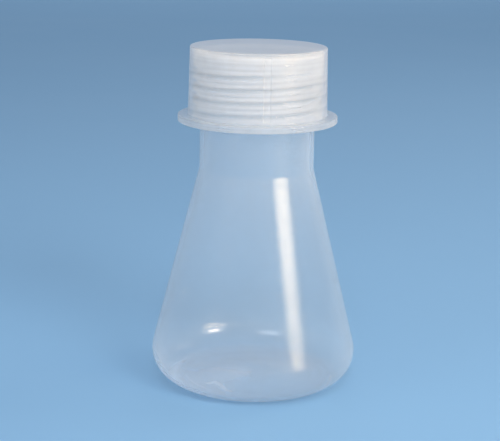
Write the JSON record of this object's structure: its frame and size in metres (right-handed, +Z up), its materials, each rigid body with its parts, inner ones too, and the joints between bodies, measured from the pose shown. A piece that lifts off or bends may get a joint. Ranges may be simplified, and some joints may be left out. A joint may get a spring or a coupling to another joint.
{
  "type": "erlenmeyer flask with screw cap",
  "caption": "Translucent plastic conical lab flask with a plain flanged screw cap that unscrews upwards off a short threaded neck.",
  "frame": {"origin": "centre of the base, on the surface the flask stands on", "axes": "+Z up along the flask's axis of revolution; -Y faces the front view, +X to its right"},
  "size_m": [0.085, 0.085, 0.1396],
  "materials": {
    "flask_plastic": "translucent natural polypropylene, smooth with a soft gloss",
    "seal": "translucent white silicone, satin",
    "cap_plastic": "milky natural polypropylene, satin"
  },
  "bodies": {
    "flask": {"flask_body": "flask_plastic"},
    "seal": {"sealing_ring": "seal"},
    "cap": {"screw_cap": "cap_plastic"}
  },
  "joints": [
    {"name": "cap_lift", "type": "slide", "parent": "flask", "child": "seal", "axis": [0, 0, 1], "range_m": [0, 0.0305]},
    {"name": "cap_turn", "type": "hinge", "parent": "seal", "child": "cap", "pos_m": [0, 0, 0.125], "axis": [0, 0, 1], "range_deg": [0, 2160]}
  ],
  "couplings": [
    {"joint": "cap_lift", "follows": "cap_turn", "m_per_rad": 0.00080851}
  ]
}
